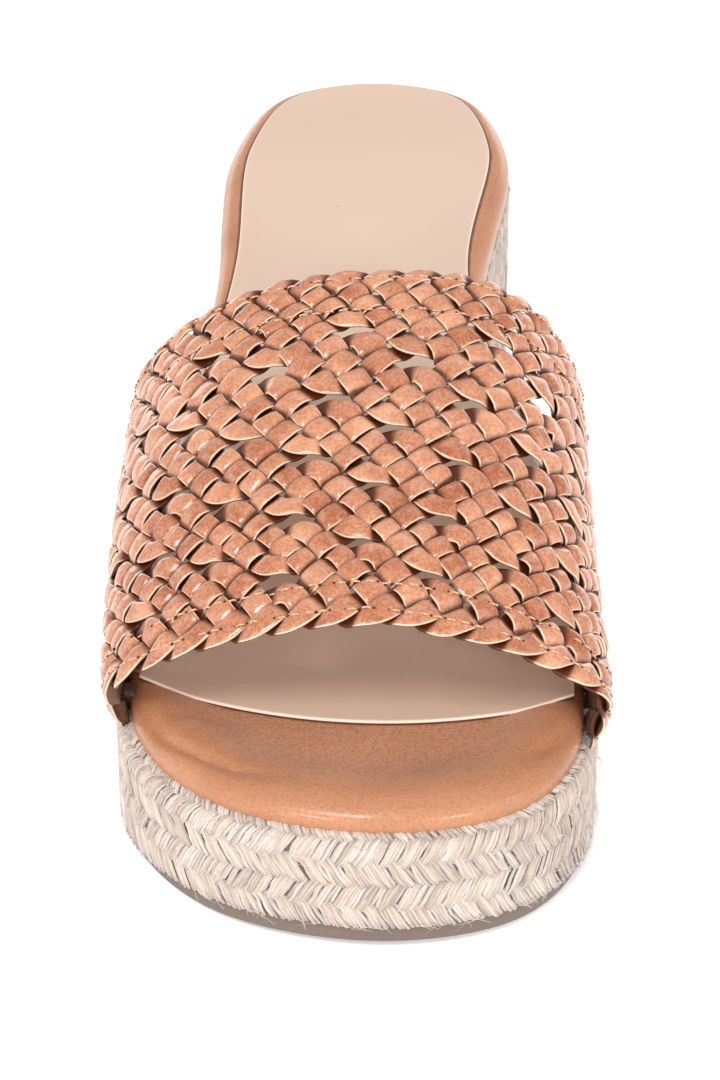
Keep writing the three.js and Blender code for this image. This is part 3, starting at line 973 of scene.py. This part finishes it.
@dataclass
class Footbed:
    """Board wrapped in leather, with a padded round rim, and the insole sock glued on it."""

    last: Last
    rim_round: float = 4
    rim_steps: int = 14
    # The rim's rounding is wider at the toe, fully so in front of the second place.
    toe_round: float = 4.5
    toe_range: tuple[float, float] = (-70, -105)
    dish: float = 1.2
    dish_width: float = 11
    dish_steps: int = 14
    deepest: float = 20
    sock_inset: float = 4.5
    sock_thick: float = 1.0
    sock_bend: float = 14
    # The painted shadow line between sock and rim runs round the heel, from here backwards.
    sock_shadow_from: float = -40
    sock_front: tuple[float, float, float] = (6, -91.2, 0.0063)
    # Soft creases of the leather at the toe, each a line of (x, y, depth) that fades at its ends.
    creases: tuple[tuple[tuple[float, float, float], ...], ...] = (
        ((-41, -84, 0.4), (-35.9, -95.2, 1.1), (-29.6, -101.8, 1.1), (-23.5, -107.1, 0.9),
         (-17.5, -109.7, 0.6), (-8, -112, 0.0)),
        ((-36, -87, 0.0), (-30, -89, 0.5), (-20, -92, 0.0)),
        ((40, -92, 0.4), (36, -99, 0.7), (29, -106, 0.0)),
    )
    crease_width: float = 1.15
    around: int = 420

    def leather(self) -> Surface:
        """Loft from the underside round the rim, a quarter ellipse wider at the toe, into the dish.

        Returns:
            The leather, with its creases pressed in.
        """
        thick = self.last.footbed_thick
        y = self.last.ring(0, self.around)[:, 1]
        width = self.rim_round + self.toe_round * ease(*self.toe_range, y)
        lower = ((3, -thick), (0.6, -thick), (0.15, -thick + 0.25), (0, -thick + 0.8))
        profile = [(inset + 0 * y, rise) for inset, rise in lower]
        for angle in np.linspace(0, np.pi / 2, self.rim_steps):
            profile.append((width * (1 - math.cos(angle)), -self.rim_round * (1 - math.sin(angle))))
        for share in np.linspace(0, 1, self.dish_steps + 1)[1:]:
            inset = width + share * (self.deepest - width)
            profile.append((inset, -self.dish * ease(0, self.dish_width, inset - width)))
        rings, sock_shadows, drawn = [], [], []
        for inset, rise in profile:
            plan = self.last.ring(inset, self.around, to_footbed=True)
            height = self.last.footbed_top(plan[:, 1]) + rise - self.crease_depth(plan)
            rings.append(np.column_stack([plan, height]))
            sock_shadows.append(np.where(y > self.sock_shadow_from, self.last.depth(plan) - self.sock_inset, -9))
            drawn.append(ease(5, -1, inset - width))
        return loft(np.array(rings), {"sock_shadow": np.array(sock_shadows), "drawn": np.array(drawn)})

    def crease_depth(self, plan: Array) -> Array:
        """Add up the creases under plan points: a bell across each line, its depth read along the line.

        Args:
            plan: Points (x, y).

        Returns:
            How far the leather is pressed in at each point.
        """
        total = np.zeros(len(plan))
        for line in self.creases:
            knots = np.array(line)
            places = np.linspace(0, len(knots) - 1, 60)
            x, y, depth = (follow(np.arange(len(knots)), column, places) for column in knots.T)
            away = np.hypot(plan[:, :1] - x, plan[:, 1:] - y)
            nearest = away.argmin(1)
            total += depth[nearest] * np.exp(-(away.min(1) / self.crease_width) ** 2)
        return total

    def sock(self) -> Surface:
        """Loft the sock: its plan is an inset ring, cut across in front along a shallow curve.

        Returns:
            The sock with its cut edge and a painted shadow line under it.
        """
        x_mid, y_front, curve = self.sock_front
        top = self.sock_thick
        # Inset, height over the leather, and the marks edge (pale cut edge) and shade (a painted dark
        # shadow line).
        profile = [(step, 0.02, 0, 0) for step in np.arange(13.5, 0, -1.5)]
        profile += [(0, 0.02, 0, 1), (0, 0.4, 0, 1), (0, 0.5, 1, 0), (0.03, top - 0.2, 1, 0),
                    (0.12, top - 0.04, 0.8, 0), (0.35, top, 0.15, 0), (0.7, top, 0, 0)]
        profile += [(step, top, 0, 0) for step in np.arange(1.5, 15.0, 1.5)]
        rings, edges, painted_shades = [], [], []
        for step, rise, edge, painted_shade in profile:
            plan = self.last.ring(self.sock_inset + step, self.around)
            front = y_front + step + curve * (plan[:, 0] - x_mid) ** 2
            plan = np.column_stack([plan[:, 0], np.maximum(plan[:, 1], front)])
            depth = self.last.depth(plan) - self.last.footbed_inset(plan[:, 1])
            # The sock is stiffer than the leather and lies in the dish along a flatter curve.
            height = self.last.footbed_top(plan[:, 1]) - self.dish * ease(0, self.sock_bend, depth) + rise
            rings.append(np.column_stack([plan, height]))
            edges.append(np.full(self.around, float(edge)))
            painted_shades.append(np.full(self.around, float(painted_shade)))
        return loft(np.array(rings), {"edge": np.array(edges), "painted_shade": np.array(painted_shades)})

    def dress(self) -> None:
        """Make the leather and the sock; they stand for the solid footbed and insole."""
        leather = WrapLeather("wrapped calf leather", "#a0694a", 0.36).make()
        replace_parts(make_piece("footbed_leather_wrap", self.leather(), leather), "footbed")
        sock = SockLeather("sheepskin sock", "#cdb3a0", 0.7).make()
        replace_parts(make_piece("insole_cover", self.sock(), sock), "insole")


@dataclass
class WovenBand:
    """Band of leather strips woven on the diagonal over the forefoot, sewn along its two edges."""

    last: Last
    # Sections from the rear edge (v 0) to the front edge (v 1): the crest, its skew to the inner side,
    # how square the shoulders are, and for each side its foot on the wedge and its swell over it.
    section_v: tuple[float, ...] = (0, 0.5, 1)
    crest_y: tuple[float, ...] = (-14.2, -54.7, -100.7)
    crest_z: tuple[float, ...] = (85.6, 71.6, 55)
    skew: tuple[float, ...] = (10.8, 5, 1.6)
    power: tuple[float, ...] = (2.23, 2.24, 1.47)
    outer_y: tuple[float, ...] = (-4, -44, -84)
    inner_y: tuple[float, ...] = (-5, -48.5, -91)
    outer_swell: tuple[float, ...] = (6.5, 3.2, 2.3)
    inner_swell: tuple[float, ...] = (6.6, 1.7, 2.6)
    inset: float = 1.2
    seat: float = 0.9
    waist: float = 11
    sweep: float = math.radians(112)
    tuck_in: float = math.radians(118)
    grid_step: float = 0.5
    reach: float = 105
    margin: float = 5

    # Diagonal weave: crossings in rows across the foot, each row shifted sideways by lean. The rows lie
    # closer together towards the toe: their places are shares of the band's length.
    rows: int = 23
    pitch: float = 7.17
    lean: float = -0.071
    offset: float = -6.8
    columns: int = 36
    place_row: tuple[float, ...] = (-1, 4, 8, 12, 16, 20, 23)
    place_share: tuple[float, ...] = (0, 0.2, 0.414, 0.582, 0.73, 0.867, 1)
    gap_rows: tuple[int, int] = (4, 20)
    gap_every: int = 8
    gap_stop: float = 0.7
    edge_stop: float = 0.52
    stop_spread: tuple[float, float] = (0.75, 1.15)
    # Level of a strip where it turns back: heading for the toe, and heading for the rear.
    turn_level: tuple[float, float] = (0.75, 0.1)

    strip_thick: float = 0.95
    strip_half: tuple[float, float, float] = (2.3, 2.45, 2.05)
    wave: float = 0.85
    sink: float = -0.22
    crown: float = 0.14
    # Exponents that square the section's sides and faces.
    square: tuple[float, float] = (0.45, 0.7)
    # Levels between which shade is painted on a strip as it dives under the next one.
    dive_range: tuple[float, float] = (0.6, -0.15)
    # Spread of the strips' small differences: place, width and tilt at each crossing.
    place_spread: float = 0.2
    width_spread: tuple[float, float] = (0.92, 1.06)
    tilt_spread: float = 0.08
    samples: int = 10
    section_points: int = 12
    tucked: float = 1.5
    # Painted shade on the inside of the band's feet, and the lengths above them where it starts and is
    # full.
    foot_shade: float = 0.85
    foot_range: tuple[float, float] = (18, 8)

    # Lengths from the rear edge, or from the front edge where negative.
    stitch_lines: tuple[float, ...] = (3.2, 13.1, -9.2, -3.4)
    stitch_margin: float = 2
    stitch_pitch: float = 2.6
    stitch_length: float = 1.6
    thread_radius: float = 0.19
    hole_radius: float = 0.34
    map_cell: float = 0.6

    def __post_init__(self) -> None:
        """Lay the band's face out as a grid of points and normals, by lengths across and along it."""
        self.length = math.hypot(self.crest_y[2] - self.crest_y[0], self.crest_z[2] - self.crest_z[0])
        along = np.arange(-self.margin, self.length + self.margin, self.grid_step)
        across = np.arange(-self.reach, self.reach, self.grid_step)
        angle = np.linspace(-self.tuck_in, self.tuck_in, 241)
        sections = self.sections(along / self.length, angle)
        steps = np.linalg.norm(np.diff(sections, axis=1), axis=-1)
        lengths = np.concatenate([np.zeros((len(along), 1)), np.cumsum(steps, 1)], 1)
        lengths -= lengths[:, [len(angle) // 2]]
        places = np.array([[np.interp(across, row_length, column) for column in row.T]
                           for row_length, row in zip(lengths, sections)]).transpose(0, 2, 1)
        forwards, sideways = np.gradient(places, axis=0), np.gradient(places, axis=1)
        normals = np.cross(forwards, sideways)
        normals /= np.maximum(np.linalg.norm(normals, axis=-1, keepdims=True), 1e-9)
        self.face = np.concatenate([places, normals], -1)
        self.origin = np.array([along[0], across[0]])
        ends = np.array([np.interp([-self.sweep, self.sweep], angle, row) for row in lengths])
        self.ends = (along, ends[:, 0], ends[:, 1])

    def sections(self, v: Array, angle: Array) -> Array:
        """Across-sections: squared arches that turn in again below their widest level.

        Above the waist x and z are a superellipse in the angle. Below it the side turns in by the swell
        and comes down to its seat on the wedge.

        Args:
            v: Places of the sections, 0 at the rear edge and 1 at the front edge.
            angle: Angles from the crest, negative on the outer side.

        Returns:
            Points, shaped sections, angles, 3.
        """
        read = [follow(self.section_v, row, v)[:, None] for row in
                (self.crest_y, self.crest_z, self.skew, self.power)]
        crest_y, crest_z, skew, power = read
        feet = []
        for side, places, swells in ((Side.OUTER, self.outer_y, self.outer_swell),
                                     (Side.INNER, self.inner_y, self.inner_swell)):
            y, swell = (follow(self.section_v, row, v)[:, None] for row in (places, swells))
            x = self.last.face_x(y, side) - side.value * self.inset
            feet.append((x, y, self.last.wedge_top(y) + self.seat, side.value * swell))
        crest_x = (feet[0][0] + feet[1][0]) / 2 + skew
        foot_x, foot_y, foot_z, swell = (np.where(angle < 0, outer, inner) for outer, inner in zip(*feet))
        cosine, sine = np.cos(angle), np.sin(angle)
        tuck = np.maximum(cosine / math.cos(self.sweep), 0)
        above = np.maximum(cosine, 0) ** (2 / power)
        widest = foot_x + swell
        arch = crest_x + (widest - crest_x) * np.abs(sine) ** (2 / power)
        x = np.where(cosine > 0, arch, widest - swell * tuck ** 2)
        z = foot_z + self.waist + (crest_z - foot_z - self.waist) * above - self.waist * tuck
        y = foot_y + (crest_y - foot_y) * (z - foot_z) / (crest_z - foot_z)
        return np.stack([x, y, z], -1)

    def wrap(self, across: Array, along: Array, rise: Array) -> Array:
        """Points of the flat band wrapped over the foot, raised along the face's normal.

        Args:
            across: Lengths from the crest line.
            along: Lengths from the rear edge.
            rise: Heights over the face.

        Returns:
            Points, with one more axis than the lengths.
        """
        row, column = ((value - start) / self.grid_step
                       for value, start in zip((along, across), self.origin))
        i = np.clip(row.astype(int), 0, self.face.shape[0] - 2)
        j = np.clip(column.astype(int), 0, self.face.shape[1] - 2)
        s, t = (row - i)[..., None], (column - j)[..., None]
        near = self.face[i, j] * (1 - t) + self.face[i, j + 1] * t
        far = self.face[i + 1, j] * (1 - t) + self.face[i + 1, j + 1] * t
        both = near * (1 - s) + far * s
        return both[..., :3] + both[..., 3:] * np.asarray(rise)[..., None]

    def row_place(self, row: Array) -> Array:
        """Length from the rear edge to a row of crossings."""
        return self.length * follow(self.place_row, self.place_share, row)

    def is_gap(self, column: int, row: Array) -> Array:
        """Tell where strips turn back instead of crossing: every fourth crossing of each second row.

        Args:
            column: The crossings' column.
            row: Their rows.

        Returns:
            True at each crossing that is a gap.
        """
        low, high = self.gap_rows
        stagger = np.where(row % 4 == 0, 0, self.gap_every // 2)
        return (row >= low) & (row <= high) & (row % 2 == 0) & ((column - stagger) % self.gap_every == 0)

    def trace(self) -> Array:
        """Follow all strips from crossing to crossing, one column at a time.

        A strip heads for the rear edge or for the toe. It turns round at the edges and at the gaps, where
        it stops short of the crossing. Strips heading for the rear lie over in even rows, the others in
        odd rows.

        Returns:
            Shaped strips, columns, 4: across, along, level (1 over, -1 under) and half width.
        """
        columns = np.arange(-self.columns, self.columns + 1)
        rows = np.arange(-1, self.rows + 1)
        rows = rows[(rows + columns[0]) % 2 == 0]
        row, heading = np.repeat(rows, 2), np.tile([-1, 1], len(rows))
        real = ~((row == -1) & (heading > 0)) & ~((row == self.rows) & (heading < 0))
        row, heading = row[real], heading[real]
        straight_rear, straight_toe, turning = self.strip_half
        rng = np.random.default_rng(SEED)
        knots = []
        for column in columns:
            at_edge = (row == -1) | (row == self.rows)
            turns = at_edge | self.is_gap(column, row)
            over = np.where(heading < 0, row % 2 == 0, row % 2 == 1)
            short = self.gap_stop * rng.uniform(*self.stop_spread, len(row))
            stop = np.where(at_edge, self.edge_stop, np.where(turns, short, 0))
            place = row - heading * stop
            across = self.offset + self.pitch * (column / 2 + self.lean * place)
            turned = np.where(heading > 0, *self.turn_level)
            level = np.where(turns, turned, np.where(over, 1.0, -1.0))
            half = np.where(turns, turning, np.where(heading < 0, straight_rear, straight_toe))
            # Strips are cut a little wider where the rows lie further apart.
            spacing = self.row_place(place + 0.5) - self.row_place(place - 0.5)
            half = half * np.sqrt(spacing * self.rows / self.length)
            knots.append(np.stack([across, self.row_place(place), level, half], -1))
            heading = np.where(turns, -heading, heading)
            row = row + heading
        return np.stack(knots, 1)

    def strips(self) -> list[Surface]:
        """Strips as flat tubes: a rounded rectangle carried along each strip's curved path.

        The path is a Catmull-Rom curve through the crossings, and its level becomes a squared wave.

        Returns:
            One surface for each strip; their flat places are kept for the stitches.
        """
        rng = np.random.default_rng(SEED)
        knots = self.trace()
        knots[..., :2] += rng.normal(0, self.place_spread, knots[..., :2].shape)
        knots[..., 3] *= rng.uniform(*self.width_spread, knots.shape[:2])
        tilt = rng.normal(0, self.tilt_spread, knots.shape[:2])
        knots = np.concatenate([knots, tilt[..., None]], -1)
        t = (np.arange(self.samples) / self.samples)[:, None]
        a, b, c, d = (knots[:, shift:knots.shape[1] - 3 + shift, None] for shift in range(4))
        paths = 0.5 * (2 * b + (c - a) * t + (2 * a - 5 * b + 4 * c - d) * t ** 2
                       + (3 * b - a - 3 * c + d) * t ** 3)
        paths = paths.reshape(len(knots), -1, knots.shape[-1])

        angle = (np.arange(self.section_points) + 0.5) * 2 * np.pi / self.section_points
        cosine, sine = np.cos(angle), np.sin(angle)
        side = np.sign(cosine) * np.abs(cosine) ** self.square[0]
        high = np.sign(sine) * np.abs(sine) ** self.square[1] * self.strip_thick / 2
        under = high < 0
        high = high + self.crown * (1 - side ** 2)

        made, self.top_samples = [], []
        for path in paths:
            outer, inner = (np.interp(path[:, 1], self.ends[0], end) for end in self.ends[1:])
            over_foot = np.minimum(path[:, 0] - outer, inner - path[:, 0])
            shown = np.flatnonzero(over_foot > -self.tucked)
            shown = slice(shown[0], shown[-1] + 1)
            across, along, level, half, tilt = path[shown].T
            flow = np.gradient(np.stack([across, along], -1), axis=0)
            step = np.linalg.norm(flow, axis=1)
            flow /= step[:, None]
            reach = half[:, None] * side
            level = np.sin(np.pi / 2 * np.clip(level, -1, 1))
            rise = (self.sink + self.wave * level)[:, None] + high + tilt[:, None] * reach
            u = across[:, None] - reach * flow[:, 1:]
            w = along[:, None] + reach * flow[:, :1]
            points = self.wrap(u, w, rise)
            flat = np.ones_like(rise)
            # Painted shade where the strip dives under the next one, on the lower half of its cut edges,
            # and on the inside of the band's feet.
            foot = self.foot_shade * ease(*self.foot_range, over_foot[shown])[:, None]
            shaded = np.maximum(np.abs(side) > 0.9, foot)
            painted_shade = np.where(under, shaded, ease(*self.dive_range, level)[:, None])
            marks = {"u": reach, "v": np.cumsum(step)[:, None] * flat,
                     "edge": np.where(under, 1.0, np.abs(side)) * flat,
                     "tone": rng.uniform(0.1, 0.9) * flat, "painted_shade": painted_shade}
            self.top_samples.append(np.stack([u, w, rise], -1).reshape(-1, 3))
            made.append(tubes(points[None], {key: value[None] for key, value in marks.items()}))
        return made

    def top_map(self) -> Array:
        """Map the highest leather over each cell of the flat band, spread to the neighbouring cells.

        Returns:
            Heights over the face, by cells across and along the band.
        """
        cell = self.map_cell
        samples = np.concatenate(self.top_samples)
        size = int(2 * self.reach / cell), int((self.length + 2 * self.margin) / cell)
        place = [np.clip(((samples[:, axis] + start) / cell).astype(int), 0, size[axis] - 1)
                 for axis, start in ((0, self.reach), (1, self.margin))]
        tops = np.full(size, -1.0)
        np.maximum.at(tops, tuple(place), samples[:, 2])
        spread = [np.roll(tops, shift, (0, 1)) for shift in ((0, 0), (1, 0), (-1, 0), (0, 1), (0, -1))]
        return np.max(spread, 0)

    def stitches(self) -> tuple[Surface, Surface]:
        """Stitches along the edges: short thread arcs that lie on the strips and dip into needle holes.

        Returns:
            The threads, and dark discs at their ends, painted as the shade in the needle holes.
        """
        tops = self.top_map()
        places = []
        for line in self.stitch_lines:
            along = line if line > 0 else self.length + line
            low, high = (np.interp(along, self.ends[0], end) for end in self.ends[1:])
            across = np.arange(low + self.stitch_margin, high - self.stitch_margin, self.stitch_pitch)
            places.append(np.column_stack([across, np.full(len(across), along)]))
        across, along = np.concatenate(places).T

        def top(u: Array, w: Array) -> Array:
            """Read the map of the highest leather at flat places."""
            i = np.clip(((u + self.reach) / self.map_cell).astype(int), 0, tops.shape[0] - 1)
            j = np.clip(((w + self.margin) / self.map_cell).astype(int), 0, tops.shape[1] - 1)
            return tops[i, j]

        def dome(centre: tuple[Array, Array], t: Array, radius: Array, lift: Array, around: int) -> Surface:
            """Lay tubes across the band, over the leather under them.

            Args:
                centre: Flat places of their middles, across and along.
                t: Lengths along a tube from its middle.
                radius: Radii at those lengths.
                lift: Heights of the tube's axis over the leather.
                around: Points in each ring.

            Returns:
                The tubes.
            """
            angle = np.linspace(0, 2 * np.pi, around, endpoint=False)[None, None, :]
            u = centre[0][:, None, None] + t + 0 * angle
            w = centre[1][:, None, None] + radius * np.cos(angle) + 0 * t
            under = top(centre[0], centre[1])[:, None, None]
            rise = under + lift + radius * np.sin(angle) + 0 * u
            marks = {"u": w - centre[1][:, None, None] + 0 * u, "v": u}
            return tubes(self.wrap(u, w + 0 * u, rise), marks)

        t = np.linspace(-1, 1, 9)[None, :, None]
        bow = self.thread_radius * (0.5 - 1.6 * t ** 6)
        threads = dome((across, along), t * self.stitch_length / 2,
                       self.thread_radius * (1 - 0.2 * t ** 4), bow, 6)
        t = np.linspace(-1, 1, 5)[None, :, None]
        round_off = np.sqrt(np.maximum(1 - t ** 2, 0.02))
        holes = dome((across + self.stitch_pitch / 2, along), t * self.hole_radius,
                     self.hole_radius * 0.9 * round_off, np.full((1, 1, 1), -0.18), 8)
        return threads, holes

    def dress(self) -> None:
        """Make the strips, in two halves that stand for the solid band, then thread and needle holes."""
        leather = StripLeather("glazed strip leather", "#98502b", 0.3).make()
        strips = self.strips()
        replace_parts(make_piece("woven_strips_1", join(strips[::2]), leather, 180), "upper")
        make_piece("woven_strips_2", join(strips[1::2]), leather, 180)
        threads, holes = self.stitches()
        thread = TwistedThread("waxed sewing thread", "#dcb793", 0.6).make()
        make_piece("edge_stitches", threads, thread, 180)
        # Needle holes: dark discs painted as the shade inside them.
        hole_shade = TwistedThread("needle hole", "#45220f", 0.9, shade="#2e150a").make()
        make_piece("needle_hole_shade", holes, hole_shade, 180)


# Studio


@dataclass
class Studio:
    """White floor, soft lights and the camera of the picture."""

    # The camera stands in front of the toe and looks down; its focal length is in picture pixels.
    camera_at: tuple[float, float, float] = (0.7, -622.4, 374.5)
    look_down: float = math.radians(30)
    picture_height: int = 1080
    picture_focal: float = 1820
    close_up: float = 1.85
    sensor: float = 36
    floor_half: float = 4000

    def floor(self) -> None:
        """Lay the floor."""
        half = self.floor_half * MM
        mesh = bpy.data.meshes.new("floor")
        corners = [(-half, -half, 0), (half, -half, 0), (half, half, 0), (-half, half, 0)]
        mesh.from_pydata(corners, [], [(0, 1, 2, 3)])
        mesh.materials.append(StudioFloor("frosted acrylic", "#ffffff", 0.8).make())
        board = bpy.data.objects.new("floor", mesh)
        bpy.context.scene.collection.objects.link(board)

    def light(self, name: str, at: tuple[float, float, float], size: float, watts: float) -> None:
        """Hang a square softbox that faces the shoe.

        Args:
            name: The light's name.
            at: Its place in metres.
            size: Its width in metres.
            watts: Its power.
        """
        lamp = bpy.data.lights.new(name, "AREA")
        lamp.size, lamp.energy = size, watts
        box = bpy.data.objects.new(name, lamp)
        box.location = at
        box.rotation_euler = (Vector((0, 0, 0.04)) - Vector(at)).to_track_quat("-Z", "Y").to_euler()
        bpy.context.scene.collection.objects.link(box)

    def lights(self) -> None:
        """Soft key over the front, fills all round, and an even white surround."""
        self.light("key", (-0.35, -1.0, 1.3), 0.45, 13)
        self.light("fill_right", (1.4, -0.5, 0.8), 1.0, 5)
        self.light("fill_left", (-1.4, 0.1, 0.6), 1.0, 3)
        self.light("front_left", (-0.75, -1.5, 0.5), 0.3, 7.5)
        self.light("front_right", (0.85, -1.4, 0.5), 0.3, 7.5)
        self.light("back", (0.2, 1.0, 1.6), 1.0, 2)
        self.light("rear_left", (-0.8, 1.5, 0.25), 0.9, 5)
        self.light("rear_right", (0.8, 1.5, 0.25), 0.9, 5)
        world = bpy.data.worlds.new("studio")
        world.use_nodes = True
        ground = world.node_tree.nodes["Background"]
        ground.inputs["Color"].default_value = (1, 1, 1, 1)
        ground.inputs["Strength"].default_value = 0.66
        bpy.context.scene.world = world

    def camera(self) -> None:
        """Set the camera up at the picture's angle, close enough for the one shoe."""
        lens = bpy.data.cameras.new("camera")
        lens.sensor_fit = "VERTICAL"
        lens.sensor_height = self.sensor
        lens.lens = self.picture_focal * self.close_up / self.picture_height * self.sensor
        view = bpy.data.objects.new("camera", lens)
        view.location = Vector(self.camera_at) * MM
        view.rotation_euler = (math.pi / 2 - self.look_down, 0, 0)
        bpy.context.scene.collection.objects.link(view)
        bpy.context.scene.camera = view

    def build(self) -> None:
        """Set up camera, floor and lights, with colours shown as they are."""
        bpy.context.scene.view_settings.view_transform = "Standard"
        self.camera()
        self.floor()
        self.lights()


def main() -> None:
    """Build the studio, then the shoe from the sole up."""
    logging.basicConfig(level=logging.INFO, format="%(name)s: %(message)s")
    Studio().build()
    last = Last()
    for assembly in (Outsole(last), JuteWedge(last), Footbed(last), WovenBand(last)):
        assembly.dress()
        LOG.info("%s dressed", type(assembly).__name__)


if __name__ == "__main__":
    main()
